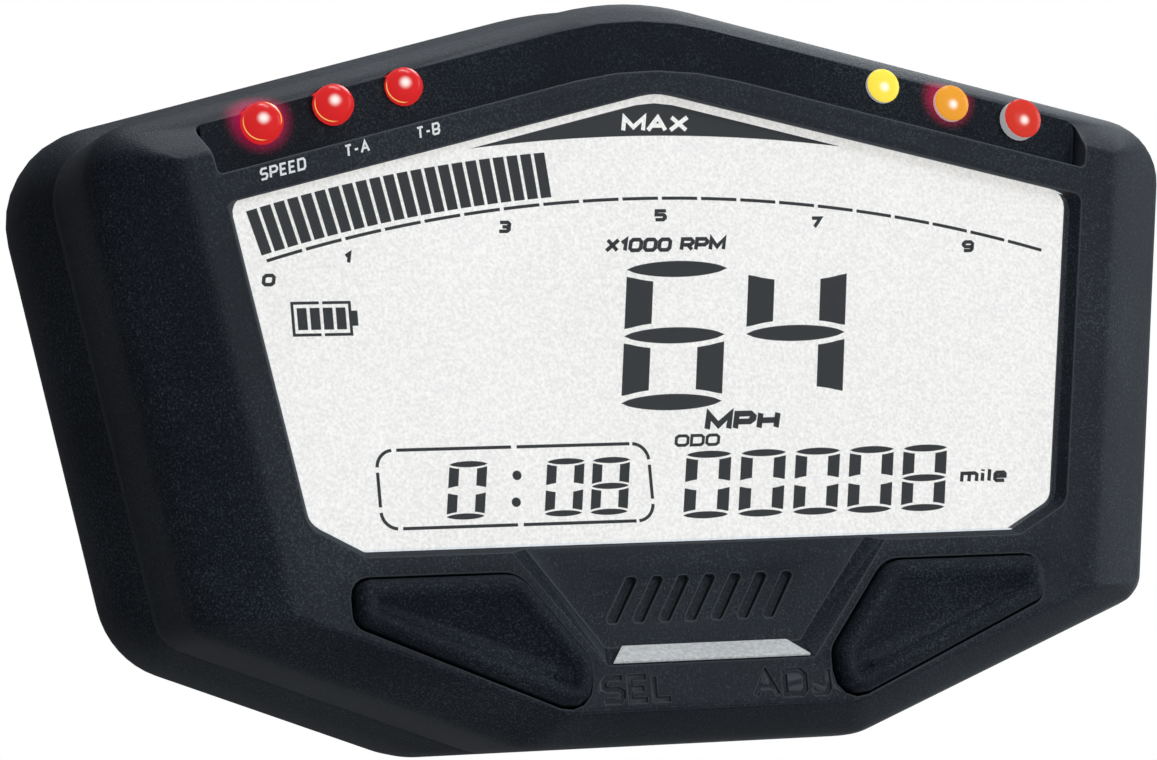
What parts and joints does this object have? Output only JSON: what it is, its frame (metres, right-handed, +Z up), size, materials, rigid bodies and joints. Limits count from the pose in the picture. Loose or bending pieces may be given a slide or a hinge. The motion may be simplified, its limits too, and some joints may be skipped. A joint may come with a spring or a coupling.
{
  "type": "motorcycle digital instrument cluster",
  "caption": "Wide six-sided motorcycle dash with a recessed LCD, two rows of indicator lamps above it and a sprung button on each side below.",
  "frame": {"origin": "point on the rear mounting pad's face, on the cluster's plane of symmetry", "axes": "+X to the reader's right, +Z up, and the display faces -Y"},
  "size_m": [0.1484, 0.0385, 0.0936],
  "materials": {
    "housing": "fine spark texture",
    "fascia": "satin gloss",
    "button": "matt moulded rubber",
    "cover": "fine spark texture",
    "rubber": "matt",
    "lens": "polished, anti-glare coated",
    "display": "bonded diffuse film behind the cell",
    "guide": "clear acrylic",
    "white_plastic": "moulded white",
    "board": "solder mask on glass fibre laminate",
    "chip": "moulded epoxy",
    "connector": "natural nylon",
    "steel": "zinc plated",
    "capacitor": "drawn can",
    "chrome": "bright plated",
    "brass": "turned and knurled",
    "accent": "satin silver",
    "red_lamp": "tinted clear epoxy",
    "orange_lamp": "tinted clear epoxy",
    "yellow_lamp": "tinted clear epoxy"
  },
  "bodies": {
    "case": {"accent_bar": "accent", "adj_switch_body": "chip", "backlight_guide": "guide", "backlight_lamp_1": "white_plastic", "backlight_lamp_2": "white_plastic", "backlight_lamp_3": "white_plastic", "backlight_lamp_4": "white_plastic", "backlight_reflector": "white_plastic", "board_screw_1": "steel", "board_screw_2": "steel", "board_screw_3": "steel", "board_screw_4": "steel", "cable_grommet": "rubber", "capacitor_1": "capacitor", "capacitor_2": "capacitor", "case_screw_1": "steel", "case_screw_2": "steel", "case_screw_3": "steel", "case_screw_4": "steel", "case_screw_5": "steel", "case_screw_6": "steel", "case_seal": "rubber", "clear_window": "lens", "clock_crystal": "steel", "controller_chip": "chip", "front_housing": "housing", "harness_header": "connector", "indicator_fascia": "fascia", "lcd_contact_strip": "rubber", "lcd_frame": "white_plastic", "lcd_glass": "display", "left_lamp_board": "board", "main_board": "board", "orange_lamp": "orange_lamp", "orange_lamp_ring": "chrome", "rear_case": "cover", "red_lamp": "red_lamp", "red_lamp_ring": "chrome", "right_lamp_board": "board", "sel_switch_body": "chip", "speed_lamp": "red_lamp", "t_a_lamp": "red_lamp", "t_b_lamp": "red_lamp", "threaded_insert_1": "brass", "threaded_insert_2": "brass", "threaded_insert_3": "brass", "voltage_regulator": "chip", "yellow_lamp": "yellow_lamp", "yellow_lamp_ring": "chrome"},
    "sel_key": {"sel_button": "button"},
    "adj_key": {"adj_button": "button"},
    "sel_plunger": {"sel_switch_plunger": "connector"},
    "adj_plunger": {"adj_switch_plunger": "connector"}
  },
  "joints": [
    {"name": "sel_press", "type": "slide", "parent": "case", "child": "sel_key", "axis": [0, 1, 0], "range_m": [0, 0.0008], "stiffness_N_per_m": 800, "springref_m": -0.0005},
    {"name": "sel_plunger_travel", "type": "slide", "parent": "case", "child": "sel_plunger", "axis": [0, 1, 0], "range_m": [0, 0.0006]},
    {"name": "adj_press", "type": "slide", "parent": "case", "child": "adj_key", "axis": [0, 1, 0], "range_m": [0, 0.0008], "stiffness_N_per_m": 800, "springref_m": -0.0005},
    {"name": "adj_plunger_travel", "type": "slide", "parent": "case", "child": "adj_plunger", "axis": [0, 1, 0], "range_m": [0, 0.0006]}
  ],
  "couplings": [
    {"joint": "sel_plunger_travel", "follows": "sel_press", "ratio": 0.7},
    {"joint": "adj_plunger_travel", "follows": "adj_press", "ratio": 0.7}
  ]
}
